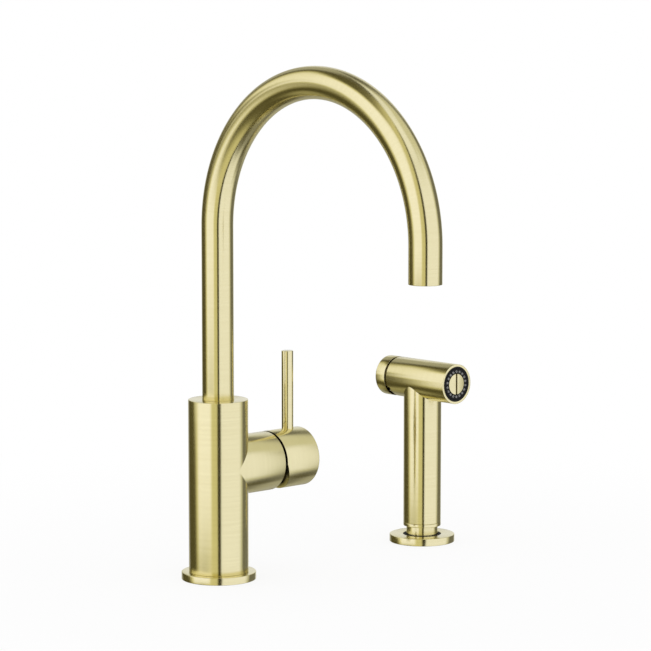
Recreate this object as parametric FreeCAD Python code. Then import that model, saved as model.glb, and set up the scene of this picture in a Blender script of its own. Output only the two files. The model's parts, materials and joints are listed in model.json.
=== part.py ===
import FreeCAD, Part
import math
import os

# Side spray kitchen faucet, millimetres, +Z up.
# Origin: the faucet's vertical axis where it meets the worktop.
# The spout points along -Y, the mixer handle along +X, and the side spray stands at +X.

# ---- fits and edges ----
fixed_fit = 0.05            # pieces that sit still in each other
running_fit = 0.1           # pieces that turn or slide in each other
pin_fit = 0.08              # cross pins in their hinges
layer_gap = 0.1             # flat pieces stacked on each other
swivel_gap = 0.3            # axial gap between pieces that turn
edge = 0.4                  # broken edges on turned parts
fine_edge = 0.25            # sharper edges of the round heads
cut_over = 1.0              # how far a cut runs past the face that it opens

# ---- driving sizes: body and base ----
body_r = 24.0               # body column
body_top_z = 145.5          # flat top of the column
base_r = 30.0               # base ring
base_h = 6.0
base_step_w = 2.0           # step that centres the column in the ring
base_step_h = 3.0
rim_w = 1.5                 # rim outside the flat seals
seal_w = 3.0                # flat seals under both rings
seal_h = 1.5
column_wall = 4.0           # wall round the tail pipes
core_bottom_z = 60.0        # solid core starts here
insert_h = 10.0             # connection block in the foot

# ---- driving sizes: connections under the deck ----
port_thread_r = 4.5         # core of an M10 x 1 thread
port_thread_depth = 8.0
stud_thread_r = 3.4         # core of an M8 thread
pipe_bore_r = 3.5
pipe_wall = 1.4
hot_angle = 60.0
cold_angle = -60.0
feed_angle = 180.0
feed_port_r = 3.0           # channel from the diverter down to the feed pipe
feed_rise = 3.5             # cross channel above the diverter's floor

# ---- driving sizes: mixer branch and cartridge, along +X ----
handle_z = 90.0             # height of the branch axis
branch_mouth_x = 51.3
branch_edge = 0.2
chamber_floor_x = 12.0
cartridge_r = 17.4          # 35 mm cartridge
cartridge_clear = 0.2
gasket_h = 1.0
gasket_inset = 0.4
cart_base_h = 5.0
cart_edge = 0.5
disc_r = 14.0
fixed_disc_h = 3.5
moving_disc_r = 9.6
moving_disc_h = 3.4
bowl_wall = 3.0             # rim round the mixing bowl of the moving disc
bowl_roof = 1.2
carrier_h = 6.0
carrier_taper = 2.0
cart_port_r = 3.0
cart_port_y = 9.0
cart_port_drop = 6.0
cart_outlet_rise = 7.5
outlet_channel_drop = 2.5   # upright channel to the diverter starts below the outlet
inlet_channel_drop = 4.0    # inlet channels end this far below the branch axis
cart_wall = 1.8
cart_neck_r = 11.0
cart_neck_wall = 2.0
cart_neck_h = 4.0
cart_lip_h = 2.4
lip_setback = 4.4           # inner lip of the housing, before the cross pin
rotor_flange_h = 4.0
rotor_proud = 1.0
slot_clear = 0.35           # stem in the slot of the rotor
nut_r = 20.0
nut_front_x = 49.0
nut_clear = 0.3
nut_edge = 0.5
nut_relief = 1.4
nut_key_w = 4.0
nut_key_depth = 2.5
nut_key_bars = 3
shroud_r = 20.6             # ball shaped shroud round the pivot
shroud_wall = 1.2
shroud_mouth_r = 11.5
shroud_steps = 3            # straight steps of its ball shaped outline

# ---- driving sizes: handle ----
pivot_x = 44.0              # cross pin of the mixing lever
pin_r = 1.5
pin_inset = 0.3
ball_arm = 13.5             # pivot to the ball that pushes the disc
ball_r = 3.0
ball_steps = 8
pocket_clear = 0.35
arm_r = 2.2
stem_side = 8.0
stem_tail = 3.5             # square part of the stem behind the pin
stem_clear = 0.5            # free end of the stem in its socket
hub_gap = 2.0               # dark joint between branch and hub
hub_end_x = 88.5
hub_wall = 2.5
hub_floor_x = 70.0
hub_floor_edge = 2.0
hub_rounding = 0.8
hub_relief_deg = 20.5       # lower half of the hub edge leans away from the branch
socket_depth = 10.0
lever_x = 74.7
lever_r = 4.75
lever_top_z = 178.0
lever_edge = 0.3
lever_sink = 1.2            # shallow seat of the rod in the hub
lever_foot_r = 3.0
lever_foot_depth = 15.0
grub_r = 2.5
grub_sink = 0.6
grub_hex = 2.5
grub_hex_depth = 2.5
thread_fit = 0.02

# ---- driving sizes: spout ----
tube_r = 12.7               # 25.4 mm tube
tube_wall = 1.5
arch_r = 117.0              # centreline of the arch
arch_z = 284.5              # height of the arch centre
outlet_drop = 28.0          # straight end of the tube below the arch centre
tube_foot_depth = 5.0       # tube in the top of the column
socket_r = 11.6
socket_floor_z = 122.0
adapter_lift = 2.0          # adapter foot above the floor of its socket
adapter_stand = 11.5        # adapter inside the tube
adapter_bore_r = 8.0
adapter_edge = 0.5
slip_ring_h = 1.0
screw_z = 131.0
screw_r = 2.0
screw_clear = 0.4
screw_sink = 0.6
screw_hex = 2.0
screw_hex_depth = 2.2
screw_reach = 0.9           # tip of the screw in the adapter's groove
screw_groove_depth = 1.3
ring_section_r = 0.9        # O-rings
ring_section_sides = 8
ring_groove_clear = 0.1
low_seal_rise = 2.2
high_seal_drop = 3.0

# ---- driving sizes: aerator ----
aerator_recess = 1.2
aerator_h = 11.0
aerator_wall = 1.7
aerator_lip_w = 1.5
aerator_lip_h = 1.5
key_notch_half_w = 1.3
key_notch_h = 0.9
insert_wall = 1.2
insert_plate_h = 2.5
mesh_cell_r = 1.25
mesh_pitch = 3.1
mesh_rings = 2
aerator_seal_w = 3.45
aerator_seal_h = 1.8

# ---- driving sizes: diverter under the spout ----
diverter_r = 8.0
diverter_floor_z = 100.0
diverter_h = 20.0
diverter_edge = 0.6
diverter_bore_r = 4.0
diverter_roof = 2.5
diverter_window_r = 2.0
side_window_rise = 10.0
diverter_seat_r = 2.8
piston_rise = 3.0
piston_h = 2.6
poppet_stem_r = 1.5
poppet_r = 3.3
poppet_rise = 9.0
poppet_rim_h = 1.0
poppet_tip_r = 2.0
poppet_tip_h = 1.3
spring_wire = 1.0           # wall of both spring sleeves

# ---- driving sizes: side spray holder ----
spray_x = 230.0             # distance between the two deck holes
holder_r = 27.75
holder_h = 6.2
bush_r = 16.2
bush_floor_h = 2.0
bush_mouth_r = 10.0
bush_edge = 0.5

# ---- driving sizes: spray neck and grip ----
neck_r = 13.3
neck_gap = 0.1
neck_wall_end = 1.0         # wall above the check valve
grip_bottom_z = 13.6
grip_r = 16.0
grip_bore_r = 14.4
end_ring_h = 2.9            # visible band at the foot of the grip
end_ring_edge = 0.6
end_ring_spigot_h = 11.5
spigot_r = 9.0
hose_thread_r = 7.0         # core of an M15 x 1 thread
hose_thread_depth = 8.0
check_valve_r = 5.5
check_valve_h = 12.0
check_valve_wall = 2.9
check_valve_nose = 2.0
check_valve_nose_r = 4.0
check_valve_mouth_r = 3.2
neck_seal_rise = 8.6
clip_h = 1.0
clip_w = 2.15
clip_depth = 0.8
clip_gap_half_w = 3.0
neck_tip_h = 2.7            # neck above the clip's underside
tube_foot_h = 3.0           # flange of the inner water tube

# ---- driving sizes: spray head, along Y ----
head_z = 139.3
head_r = 16.8
head_front_y = -40.5
head_rear_y = 27.6
head_bore_r = 15.3
face_r = 14.8
face_lip = 2.0
face_sink = 0.4
face_plate_h = 2.2
face_groove_r = 13.1
face_groove_half_w = 0.2
face_groove_depth = 0.4
distributor_h = 2.9
nozzle_count = 18
nozzle_ring_r = 10.7
nozzle_r = 1.05
nozzle_h = 0.8
nozzle_bore_r = 0.8
nozzle_start_deg = 90.0
disc_face_r = 8.8
disc_proud = 0.1
disc_floor = 0.2
slot_w = 1.9
slot_depth = 1.4
shank_r = 4.0
shank_end_y = -17.0
boss_r = 6.0

# ---- driving sizes: spray valve and rocking cap ----
valve_drop = 9.5            # valve axis below the head axis
valve_front_y = -28.0
valve_seat_y = -8.0
valve_bore_r = 4.5
valve_seat_r = 2.8
valve_seat_len = 4.0
chamber_end_y = 6.0
shoulder_y = 18.0
shoulder_w = 1.5
tongue_slot_y = 22.5
rear_stand = 2.4            # valve body behind the rocker pin
plug_inset = 2.0
plug_len = 4.0
plug_bore_r = 2.0
spring_r = 3.6
valve_seal_r = 3.9
valve_seal_len = 1.9
collar_r = 3.7
collar_len = 1.0
valve_stem_r = 2.0
valve_stem_nose = 2.5
stem_tip_len = 1.6
cap_gap = 2.0
cap_end_y = 40.7
cap_bore_r = 14.9
cap_floor = 2.2
cap_rounding = 0.8
cap_edge = 0.2
notch_half_w = 12.5
notch_depth = 2.5
notch_top_drop = 8.0
rocker_pin_inset = 1.7
tongue_half_w = 6.2
tongue_clear = 0.5
tongue_front = 3.6          # heel of the tongue before the pin
tongue_drop = 2.5
tongue_rise = 4.5
tongue_slot_rise = 6.0
tongue_root = 0.5
heel_gap = 0.3              # heel to the tip of the valve stem

# ---- sizes worked out from the ones above ----
branch_r = body_r - fixed_fit
hub_r = body_r
port_pitch_r = body_r / 2
column_bore_r = body_r - column_wall
feed_x = -port_pitch_r
chamber_r = cartridge_r + cartridge_clear
gasket_x = chamber_floor_x + gasket_h
fixed_disc_x = gasket_x + cart_base_h
moving_disc_x = fixed_disc_x + fixed_disc_h + layer_gap
carrier_x = moving_disc_x + moving_disc_h
carrier_end_x = carrier_x + carrier_h
ball_x = pivot_x - ball_arm
housing_lip_x = pivot_x - lip_setback
housing_end_x = housing_lip_x + cart_lip_h
housing_mouth_x = housing_end_x + cart_neck_h
rotor_r = cart_neck_r - running_fit
hub_edge_x = branch_mouth_x + hub_gap
hub_top_z = handle_z + hub_r
lever_seat_z = hub_top_z - lever_sink
outlet_rise_z = handle_z + cart_outlet_rise
outlet_z = arch_z - outlet_drop
tube_bore_r = tube_r - tube_wall
tube_foot_z = body_top_z - tube_foot_depth
slip_ring_z = tube_foot_z - slip_ring_h - swivel_gap
adapter_foot_z = socket_floor_z + adapter_lift
adapter_shoulder_z = tube_foot_z - slip_ring_h
land_r = socket_r - running_fit
low_seal_z = adapter_foot_z + low_seal_rise
high_seal_z = adapter_shoulder_z - high_seal_drop
spout_reach = 2.0 * arch_r
aerator_z = outlet_z + aerator_recess
aerator_r = tube_bore_r - fixed_fit
neck_bottom_z = bush_floor_h + neck_gap
neck_shoulder_z = grip_bottom_z - swivel_gap
neck_seal_z = grip_bottom_z + neck_seal_rise
check_valve_z = neck_bottom_z + hose_thread_depth
grip_shell_z = grip_bottom_z + end_ring_h
clip_z = grip_shell_z + end_ring_spigot_h + swivel_gap
neck_top_z = clip_z + neck_tip_h
face_front_y = head_front_y + face_sink
face_lip_y = head_front_y + face_lip + layer_gap
distributor_y = face_lip_y + face_plate_h + layer_gap
boss_y = distributor_y + distributor_h + layer_gap
valve_z = head_z - valve_drop
plug_y = valve_front_y + plug_inset
spring_y = plug_y + plug_len
valve_seal_y = valve_seat_y - layer_gap - valve_seal_len
collar_y = valve_seal_y - collar_len
cap_front_y = head_rear_y + cap_gap
rocker_y = head_rear_y + cap_gap / 2
heel_y = rocker_y - tongue_front
cap_floor_y = cap_end_y - cap_floor


# ---- small helpers ----
def vec(x, y, z):
    return FreeCAD.Vector(x, y, z)


def polar(radius, angle):
    return radius * math.cos(math.radians(angle)), radius * math.sin(math.radians(angle))


def lathe(profile):
    """Solid of revolution about Z from (radius, height) points."""
    points = [vec(r, 0, z) for r, z in profile]
    wire = Part.makePolygon(points + [points[0]])
    return Part.Face(wire).revolve(vec(0, 0, 0), vec(0, 0, 1), 360)


def ring(inner, outer, low, high):
    """Plain ring about Z."""
    return lathe([(inner, low), (outer, low), (outer, high), (inner, high)])


def rod(radius, low, high):
    """Plain cylinder about Z."""
    return Part.makeCylinder(radius, high - low, vec(0, 0, low))


def along_x(shape):
    """Turn a part made about Z so that its height runs along +X on the branch axis."""
    shape = shape.copy()
    shape.Placement = FreeCAD.Placement(vec(0, 0, handle_z), FreeCAD.Rotation(vec(0, 1, 0), 90))
    return shape


def along_y(shape, z):
    """Turn a part made about Z so that its height runs along +Y at the spray."""
    shape = shape.copy()
    shape.Placement = FreeCAD.Placement(vec(spray_x, 0, z), FreeCAD.Rotation(vec(1, 0, 0), -90))
    return shape


def at_spray(shape):
    return shape.translated(vec(spray_x, 0, 0))


def at_outlet(shape):
    return shape.translated(vec(0, -spout_reach, 0))


def x_rod(radius, x_low, x_high, y, z):
    return Part.makeCylinder(radius, x_high - x_low, vec(x_low, y, z), vec(1, 0, 0))


def y_rod(radius, y_low, y_high, x, z):
    return Part.makeCylinder(radius, y_high - y_low, vec(x, y_low, z), vec(0, 1, 0))


def z_rod(radius, z_low, z_high, x, y):
    return Part.makeCylinder(radius, z_high - z_low, vec(x, y, z_low), vec(0, 0, 1))


def block(x_low, x_high, y_low, y_high, z_low, z_high):
    return Part.makeBox(x_high - x_low, y_high - y_low, z_high - z_low, vec(x_low, y_low, z_low))


def cut_all(shape, tools):
    return shape.cut(Part.makeCompound(tools))


def prism(centre_x, centre_y, corner_r, sides, low, high):
    """Upright prism with a regular outline."""
    points = []
    for index in range(sides):
        dx, dy = polar(corner_r, 360.0 * index / sides)
        points.append(vec(centre_x + dx, centre_y + dy, low))
    return Part.Face(Part.makePolygon(points + [points[0]])).extrude(vec(0, 0, high - low))


def hex_socket(across, depth, mouth, inward):
    """Six sided socket of a grub screw, sunk from mouth along inward."""
    tool = prism(0, 0, across / math.sqrt(3), 6, -cut_over, depth)
    tool.Placement = FreeCAD.Placement(mouth, FreeCAD.Rotation(vec(0, 0, 1), inward))
    return tool


def o_ring(track_r, z):
    """Rubber ring whose section is an octagon about (track_r, z)."""
    turn = 360.0 / ring_section_sides
    points = []
    for index in range(ring_section_sides):
        dr, dz = polar(ring_section_r, turn * (index + 0.5))
        points.append((track_r + dr, z + dz))
    return lathe(points)


def ring_groove(surface_r, z):
    """Profile points, going up, of the groove that an O-ring fills."""
    half = ring_section_r + ring_groove_clear
    floor_r = surface_r - 2 * ring_section_r
    return [(surface_r, z - half), (floor_r, z - half), (floor_r, z + half), (surface_r, z + half)]


def ball_outline(radius, centre, first_deg, last_deg, steps):
    """Profile points on a ball, angles measured from its equator."""
    points = []
    for index in range(steps + 1):
        dr, dz = polar(radius, first_deg + (last_deg - first_deg) * index / steps)
        points.append((dr, centre + dz))
    return points


# ---- body and base ----
def body_shell():
    step_r = column_bore_r + base_step_w
    column = lathe([(0, base_step_h), (step_r, base_step_h), (step_r, base_h), (body_r, base_h),
                    (body_r, body_top_z - edge), (body_r - edge, body_top_z), (0, body_top_z)])
    branch = along_x(lathe([(0, 0), (branch_r, 0), (branch_r, branch_mouth_x - branch_edge),
                            (branch_r - branch_edge, branch_mouth_x), (0, branch_mouth_x)]))
    hot_x, hot_y = polar(port_pitch_r, hot_angle)
    cross_z = diverter_floor_z + feed_rise
    mouth_x = branch_mouth_x + cut_over
    top_z = body_top_z + cut_over
    hollow = [rod(column_bore_r, base_step_h - cut_over, core_bottom_z),
              along_x(rod(chamber_r, chamber_floor_x, mouth_x)),
              along_x(rod(nut_r + fixed_fit, housing_end_x - nut_relief, mouth_x)),
              rod(diverter_r, diverter_floor_z, socket_floor_z),
              rod(socket_r, socket_floor_z, top_z),
              rod(tube_r + running_fit, slip_ring_z, top_z),
              x_rod(pipe_bore_r, 0, chamber_floor_x + cut_over, 0, outlet_rise_z),
              rod(pipe_bore_r, outlet_rise_z - outlet_channel_drop, diverter_floor_z + cut_over),
              z_rod(feed_port_r, core_bottom_z - cut_over, cross_z + edge, feed_x, 0),
              x_rod(feed_port_r - edge, feed_x, 0, 0, cross_z),
              y_rod(screw_r, 0, body_r + cut_over, 0, screw_z)]
    for side in (1, -1):
        hollow.append(z_rod(pipe_bore_r, core_bottom_z - cut_over, handle_z - inlet_channel_drop,
                            hot_x, side * hot_y))
        hollow.append(x_rod(cart_port_r, hot_x - cart_port_r / 2, chamber_floor_x + cut_over,
                            side * cart_port_y, handle_z - cart_port_drop))
    return cut_all(column.fuse(branch), hollow)


def seal_groove(outer_r):
    """Inner and outer radius of the flat seal under a ring."""
    return outer_r - rim_w - seal_w, outer_r - rim_w


def base_ring():
    bore_r = column_bore_r + running_fit
    seat_r = column_bore_r + base_step_w + fixed_fit
    groove_in, groove_out = seal_groove(base_r)
    return lathe([(bore_r, 0), (groove_in, 0), (groove_in, seal_h), (groove_out, seal_h),
                  (groove_out, 0), (base_r, 0), (base_r, base_h - edge), (base_r - edge, base_h),
                  (seat_r, base_h), (seat_r, base_step_h), (bore_r, base_step_h)])


def deck_seal():
    groove_in, groove_out = seal_groove(base_r)
    return ring(groove_in, groove_out, 0, seal_h)


def base_insert():
    block_r = column_bore_r - cartridge_clear
    bevel = 1.0
    solid = lathe([(0, 0), (block_r, 0), (block_r, insert_h - bevel),
                   (block_r - bevel, insert_h), (0, insert_h)])
    holes = [rod(stud_thread_r, -cut_over, insert_h + cut_over)]
    for angle in (hot_angle, cold_angle, feed_angle):
        x, y = polar(port_pitch_r, angle)
        holes.append(z_rod(port_thread_r, -cut_over, port_thread_depth, x, y))
        holes.append(z_rod(pipe_bore_r, -cut_over, insert_h + cut_over, x, y))
    return cut_all(solid, holes)


def tail_pipe(angle):
    x, y = polar(port_pitch_r, angle)
    pipe = ring(pipe_bore_r, pipe_bore_r + pipe_wall, insert_h, core_bottom_z)
    return pipe.translated(vec(x, y, 0))


# ---- cartridge ----
def port_holes(low, high):
    holes = [x_rod(cart_port_r, low, high, side * cart_port_y, handle_z - cart_port_drop)
             for side in (1, -1)]
    holes.append(x_rod(cart_port_r, low, high, 0, outlet_rise_z))
    return holes


def cartridge_seal():
    pad = along_x(rod(cartridge_r - gasket_inset, chamber_floor_x, gasket_x))
    return cut_all(pad, port_holes(chamber_floor_x - cut_over, gasket_x + cut_over))


def cartridge_base():
    plate = along_x(lathe([(0, gasket_x), (cartridge_r - cart_edge, gasket_x),
                           (cartridge_r, gasket_x + cart_edge), (cartridge_r, fixed_disc_x),
                           (0, fixed_disc_x)]))
    return cut_all(plate, port_holes(gasket_x - cut_over, fixed_disc_x + cut_over))


def fixed_disc():
    plate = along_x(rod(disc_r, fixed_disc_x, fixed_disc_x + fixed_disc_h))
    return cut_all(plate, port_holes(fixed_disc_x - cut_over, moving_disc_x + cut_over))


def moving_disc():
    plate = along_x(rod(moving_disc_r, moving_disc_x, carrier_x))
    bowl = rod(moving_disc_r - bowl_wall, moving_disc_x - cut_over, carrier_x - bowl_roof)
    return plate.cut(along_x(bowl))


def disc_carrier():
    solid = along_x(lathe([(0, carrier_x), (moving_disc_r, carrier_x),
                           (moving_disc_r, carrier_x + carrier_taper),
                           (moving_disc_r - carrier_taper, carrier_end_x), (0, carrier_end_x)]))
    pocket_r = ball_r + pocket_clear
    return solid.cut(along_x(rod(pocket_r, ball_x - pocket_r, carrier_end_x + cut_over)))


def cartridge_housing():
    inner_r = cartridge_r - cart_wall
    neck_out_r = cart_neck_r + cart_neck_wall
    return along_x(lathe([(inner_r, fixed_disc_x), (cartridge_r, fixed_disc_x),
                          (cartridge_r, housing_end_x), (neck_out_r, housing_end_x),
                          (neck_out_r, housing_mouth_x), (cart_neck_r, housing_mouth_x),
                          (cart_neck_r, housing_lip_x), (inner_r, housing_lip_x)]))


def cartridge_rotor():
    flange_r = cartridge_r - cart_wall - cartridge_clear
    flange_end = housing_lip_x - cartridge_clear
    start = flange_end - rotor_flange_h
    end = housing_mouth_x + rotor_proud
    solid = along_x(lathe([(0, start), (flange_r, start), (flange_r, flange_end),
                           (rotor_r, flange_end), (rotor_r, end), (0, end)]))
    slot_half_w = stem_side / 2 + slot_clear
    slot = block(start - cut_over, end + cut_over, -slot_half_w, slot_half_w,
                 handle_z - stem_side, handle_z + stem_side)
    pin_hole = y_rod(pin_r, -flange_r, flange_r, pivot_x, handle_z)
    return cut_all(solid, [slot, pin_hole])


def pivot_pin():
    half = rotor_r - pin_inset
    return y_rod(pin_r, -half, half, pivot_x, handle_z)


def retaining_nut():
    inner = cart_neck_r + cart_neck_wall + nut_clear
    solid = along_x(lathe([(inner, housing_end_x), (nut_r, housing_end_x),
                           (nut_r, nut_front_x - nut_edge), (nut_r - nut_edge, nut_front_x),
                           (inner + nut_edge, nut_front_x), (inner, nut_front_x - nut_edge)]))
    keys = []
    for index in range(nut_key_bars):
        bar = block(nut_front_x - nut_key_depth, nut_front_x + cut_over,
                    -nut_r - cut_over, nut_r + cut_over,
                    handle_z - nut_key_w / 2, handle_z + nut_key_w / 2)
        bar.rotate(vec(0, 0, handle_z), vec(1, 0, 0), 180.0 * index / nut_key_bars)
        keys.append(bar)
    return cut_all(solid, keys)


def cartridge_shroud():
    def outline(radius):
        foot_deg = math.degrees(math.asin((nut_front_x - pivot_x) / radius))
        mouth_deg = math.degrees(math.acos(shroud_mouth_r / radius))
        return ball_outline(radius, pivot_x, foot_deg, mouth_deg, shroud_steps)

    return along_x(lathe(outline(shroud_r) + outline(shroud_r - shroud_wall)[::-1]))


# ---- handle ----
def lever_stem():
    half = stem_side / 2
    square_x = pivot_x - stem_tail
    bar = block(square_x, hub_floor_x + socket_depth - stem_clear, -half, half,
                handle_z - half, handle_z + half)
    arm = along_x(rod(arm_r, ball_x, square_x + cut_over))
    ball = along_x(lathe(ball_outline(ball_r, ball_x, -90, 90, ball_steps)))
    pin_hole = y_rod(pin_r + pin_fit, -stem_side, stem_side, pivot_x, handle_z)
    return bar.fuse([arm, ball]).cut(pin_hole)


def hub_relief():
    """Wedge that leans the lower half of the hub edge away from the branch."""
    far = 2 * hub_r
    lean = far * math.tan(math.radians(hub_relief_deg))
    outline = [(hub_edge_x, handle_z), (hub_edge_x + lean, handle_z - far),
               (hub_edge_x - far, handle_z - far), (hub_edge_x - far, handle_z)]
    points = [vec(x, -far, z) for x, z in outline]
    return Part.Face(Part.makePolygon(points + [points[0]])).extrude(vec(0, 2 * far, 0))


def handle_hub():
    start = hub_edge_x - cut_over
    inner_r = hub_r - hub_wall
    solid = along_x(lathe([(0, hub_edge_x), (hub_r, hub_edge_x), (hub_r, hub_end_x - hub_rounding),
                           (hub_r - fine_edge, hub_end_x - fine_edge),
                           (hub_r - hub_rounding, hub_end_x), (0, hub_end_x)]))
    cavity = along_x(lathe([(0, start), (inner_r, start), (inner_r, hub_floor_x - hub_floor_edge),
                            (inner_r - hub_floor_edge, hub_floor_x), (0, hub_floor_x)]))
    half = stem_side / 2 + running_fit
    socket = block(hub_floor_x - cut_over, hub_floor_x + socket_depth, -half, half,
                   handle_z - half, handle_z + half)
    above = hub_top_z + cut_over
    lever_hole = z_rod(lever_foot_r, hub_top_z - lever_foot_depth, above, lever_x, 0)
    lever_seat = z_rod(lever_r + fixed_fit, lever_seat_z, above, lever_x, 0)
    grub_hole = z_rod(grub_r, handle_z - hub_r - cut_over, handle_z, lever_x, 0)
    return cut_all(solid, [cavity, socket, hub_relief(), lever_hole, lever_seat, grub_hole])


def lever_rod():
    bar = lathe([(0, lever_seat_z), (lever_r, lever_seat_z), (lever_r, lever_top_z - lever_edge),
                 (lever_r - lever_edge, lever_top_z), (0, lever_top_z)])
    foot = rod(lever_foot_r, hub_top_z - lever_foot_depth + stem_clear, lever_seat_z + edge)
    return bar.fuse(foot).translated(vec(lever_x, 0, 0))


def handle_set_screw():
    foot_z = handle_z - hub_r + grub_sink
    tip_z = handle_z - stem_side / 2 - fixed_fit
    screw = z_rod(grub_r - thread_fit, foot_z, tip_z, lever_x, 0)
    return screw.cut(hex_socket(grub_hex, grub_hex_depth, vec(lever_x, 0, foot_z), vec(0, 0, 1)))


# ---- spout ----
def spout_tube():
    """Gooseneck: straight riser, half turn, short drop to the outlet."""
    riser = ring(tube_bore_r, tube_r, tube_foot_z, arch_z)
    circles = [Part.Wire(Part.makeCircle(radius, vec(0, 0, arch_z), vec(0, 0, 1)))
               for radius in (tube_r, tube_bore_r)]
    arch = Part.Face(circles).revolve(vec(0, -arch_r, arch_z), vec(1, 0, 0), 180)
    drop = at_outlet(ring(tube_bore_r, tube_r, outlet_z, arch_z))
    return riser.fuse([arch, drop]).removeSplitter()


def spout_adapter():
    neck_out_r = tube_bore_r - fixed_fit
    groove_r = land_r - screw_groove_depth
    half = screw_r + screw_clear
    top_z = tube_foot_z + adapter_stand
    return lathe([(adapter_bore_r, adapter_foot_z), (land_r - adapter_edge, adapter_foot_z),
                  (land_r, adapter_foot_z + adapter_edge)]
                 + ring_groove(land_r, low_seal_z)
                 + [(land_r, screw_z - half), (groove_r, screw_z - half),
                    (groove_r, screw_z + half), (land_r, screw_z + half)]
                 + ring_groove(land_r, high_seal_z)
                 + [(land_r, adapter_shoulder_z), (neck_out_r, adapter_shoulder_z),
                    (neck_out_r, top_z), (adapter_bore_r, top_z)])


def spout_o_rings():
    track_r = land_r - ring_section_r
    return Part.makeCompound([o_ring(track_r, low_seal_z), o_ring(track_r, high_seal_z)])


def spout_slip_ring():
    return ring(socket_r + running_fit, tube_r + fixed_fit, slip_ring_z, slip_ring_z + slip_ring_h)


def spout_set_screw():
    mouth_y = body_r - screw_sink
    screw = y_rod(screw_r - thread_fit, socket_r - screw_reach, mouth_y, 0, screw_z)
    return screw.cut(hex_socket(screw_hex, screw_hex_depth, vec(0, mouth_y, screw_z), vec(0, -1, 0)))


# ---- aerator ----
def aerator_housing():
    inner = aerator_r - aerator_wall
    lip_r = inner - aerator_lip_w
    top = aerator_z + aerator_h
    lip_z = top - aerator_lip_h
    solid = lathe([(inner, aerator_z), (aerator_r, aerator_z), (aerator_r, top), (lip_r, top),
                   (lip_r, lip_z), (inner, lip_z)])
    notch = block(-tube_r, tube_r, -key_notch_half_w, key_notch_half_w,
                  aerator_z - cut_over, aerator_z + key_notch_h)
    cross_notch = notch.copy()
    cross_notch.rotate(vec(0, 0, 0), vec(0, 0, 1), 90)
    return at_outlet(cut_all(solid, [notch, cross_notch]))


def aerator_insert():
    low = aerator_z + key_notch_h
    high = aerator_z + aerator_h - aerator_lip_h
    floor_z = low + insert_plate_h
    outer = aerator_r - aerator_wall - running_fit
    inner = outer - insert_wall
    cup = lathe([(0, low), (outer, low), (outer, high), (inner, high), (inner, floor_z),
                 (0, floor_z)])
    holes = []
    for column in range(-mesh_rings, mesh_rings + 1):
        count = 2 * mesh_rings + 1 - abs(column)
        for row in range(count):
            x = column * mesh_pitch * math.sqrt(3) / 2
            y = (row - (count - 1) / 2) * mesh_pitch
            holes.append(prism(x, y, mesh_cell_r, 6, low - cut_over, floor_z + cut_over))
    return at_outlet(cut_all(cup, holes))


def aerator_seal():
    low = aerator_z + aerator_h
    return at_outlet(ring(aerator_r - aerator_seal_w, aerator_r, low, low + aerator_seal_h))


# ---- diverter ----
def diverter_body():
    low = diverter_floor_z
    high = low + diverter_h
    outer = diverter_r - running_fit
    past = outer + cut_over
    solid = lathe([(0, low), (outer, low), (outer, high - diverter_edge),
                   (outer - diverter_edge, high), (0, high)])
    holes = [rod(diverter_bore_r, low - cut_over, high - diverter_roof),
             rod(diverter_seat_r, low - cut_over, high + cut_over),
             x_rod(diverter_window_r, -past, 0, 0, low + feed_rise),
             y_rod(diverter_window_r, -past, past, 0, low + side_window_rise)]
    return cut_all(solid, holes)


def diverter_poppet():
    low = diverter_floor_z + piston_rise
    piston_r = diverter_bore_r - running_fit
    head = low + poppet_rise
    rim = head + poppet_rim_h
    return lathe([(0, low), (piston_r, low), (piston_r, low + piston_h),
                  (poppet_stem_r, low + piston_h), (poppet_stem_r, head), (poppet_r, head),
                  (poppet_r, rim), (poppet_tip_r, rim + poppet_tip_h), (0, rim + poppet_tip_h)])


def diverter_spring():
    outer = diverter_bore_r - swivel_gap
    low = diverter_floor_z
    return ring(outer - spring_wire, outer, low, low + piston_rise - layer_gap)


# ---- side spray holder ----
def holder_flange():
    groove_in, groove_out = seal_groove(holder_r)
    return at_spray(lathe([(bush_r, 0), (groove_in, 0), (groove_in, seal_h),
                           (groove_out, seal_h), (groove_out, 0), (holder_r, 0),
                           (holder_r, holder_h - edge), (holder_r - edge, holder_h),
                           (bush_r, holder_h)]))


def holder_seal():
    groove_in, groove_out = seal_groove(holder_r)
    return at_spray(ring(groove_in, groove_out, 0, seal_h))


def holder_bush():
    outer = bush_r - thread_fit
    inner = neck_r + running_fit
    return at_spray(lathe([(bush_mouth_r, 0), (outer, 0), (outer, holder_h),
                           (inner + bush_edge, holder_h), (inner, holder_h - bush_edge),
                           (inner, bush_floor_h), (bush_mouth_r, bush_floor_h)]))


# ---- spray neck ----
def spray_neck():
    low = neck_bottom_z
    valve_r = check_valve_r + fixed_fit
    valve_top = check_valve_z + check_valve_h + neck_wall_end
    clip_low = clip_z - fixed_fit
    clip_high = clip_z + clip_h + fixed_fit
    clip_r = spigot_r - clip_depth
    return at_spray(lathe([(hose_thread_r, low), (neck_r - edge, low), (neck_r, low + edge),
                           (neck_r, neck_shoulder_z), (spigot_r, neck_shoulder_z)]
                          + ring_groove(spigot_r, neck_seal_z)
                          + [(spigot_r, clip_low), (clip_r, clip_low), (clip_r, clip_high),
                             (spigot_r, clip_high), (spigot_r, neck_top_z),
                             (pipe_bore_r, neck_top_z), (pipe_bore_r, valve_top),
                             (valve_r, valve_top), (valve_r, check_valve_z),
                             (hose_thread_r, check_valve_z)]))


def neck_o_ring():
    return at_spray(o_ring(spigot_r - ring_section_r, neck_seal_z))


def neck_clip():
    inner = spigot_r - clip_depth + fixed_fit
    clip = ring(inner, inner + clip_w, clip_z, clip_z + clip_h)
    gap = block(0, grip_r, -clip_gap_half_w, clip_gap_half_w, clip_z - cut_over,
                clip_z + clip_h + cut_over)
    return at_spray(clip.cut(gap))


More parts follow.
